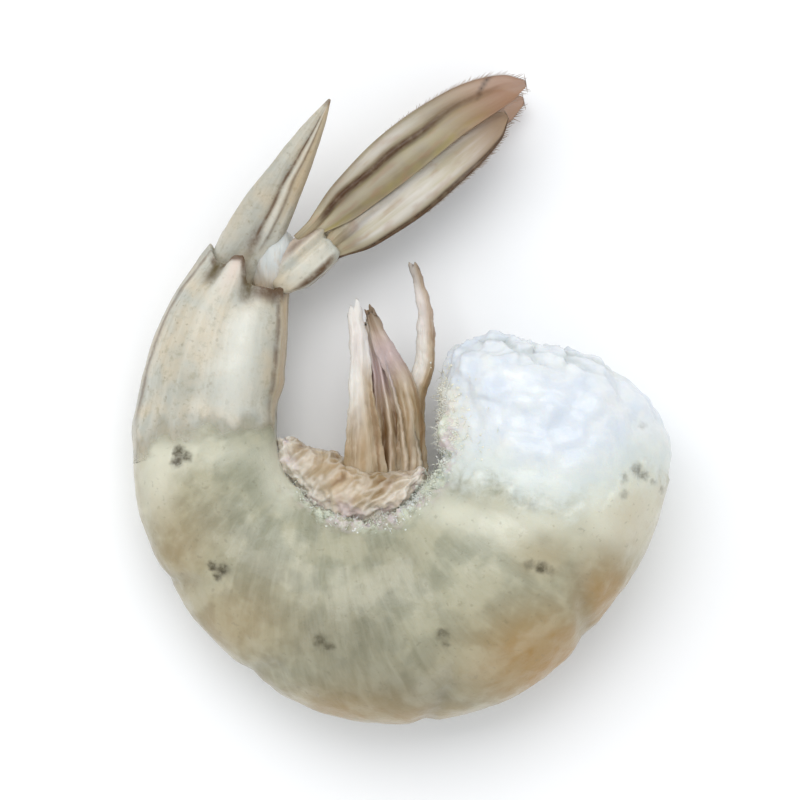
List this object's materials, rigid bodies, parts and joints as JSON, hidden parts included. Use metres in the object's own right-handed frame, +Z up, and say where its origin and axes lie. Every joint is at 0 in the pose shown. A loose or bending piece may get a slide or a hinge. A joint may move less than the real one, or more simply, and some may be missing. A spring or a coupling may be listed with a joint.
{
  "type": "raw peeled shrimp",
  "caption": "Raw headless shrimp, peeled to the last somite, lying on its side in a curl with the tail fan and torn swimming legs left on.",
  "frame": {"origin": "on the table, under the middle of the shrimp's box", "axes": "+Z up, out of the shrimp's left flank; seen from above the tail fan points to +Y and +X from the upper left, the back is the outer side of the curl, and the torn neck end is at +X"},
  "size_m": [0.0532, 0.0628, 0.018],
  "materials": {
    "flesh": "wet, translucent grey-white raw flesh",
    "shell": "wet, thin grey-tan shell",
    "fan": "wet, thin translucent brown-grey shell, redder at the tips",
    "tissue": "wet, torn tan skin"
  },
  "bodies": {
    "root": {"flesh": "flesh", "tail_segment": "shell", "telson": "shell", "uropod_base_left": "shell", "uropod_base_right": "shell", "endopod_left": "fan", "exopod_left": "fan", "exopod_right": "fan", "endopod_right": "fan", "belly_tissue": "tissue"}
  },
  "joints": []
}
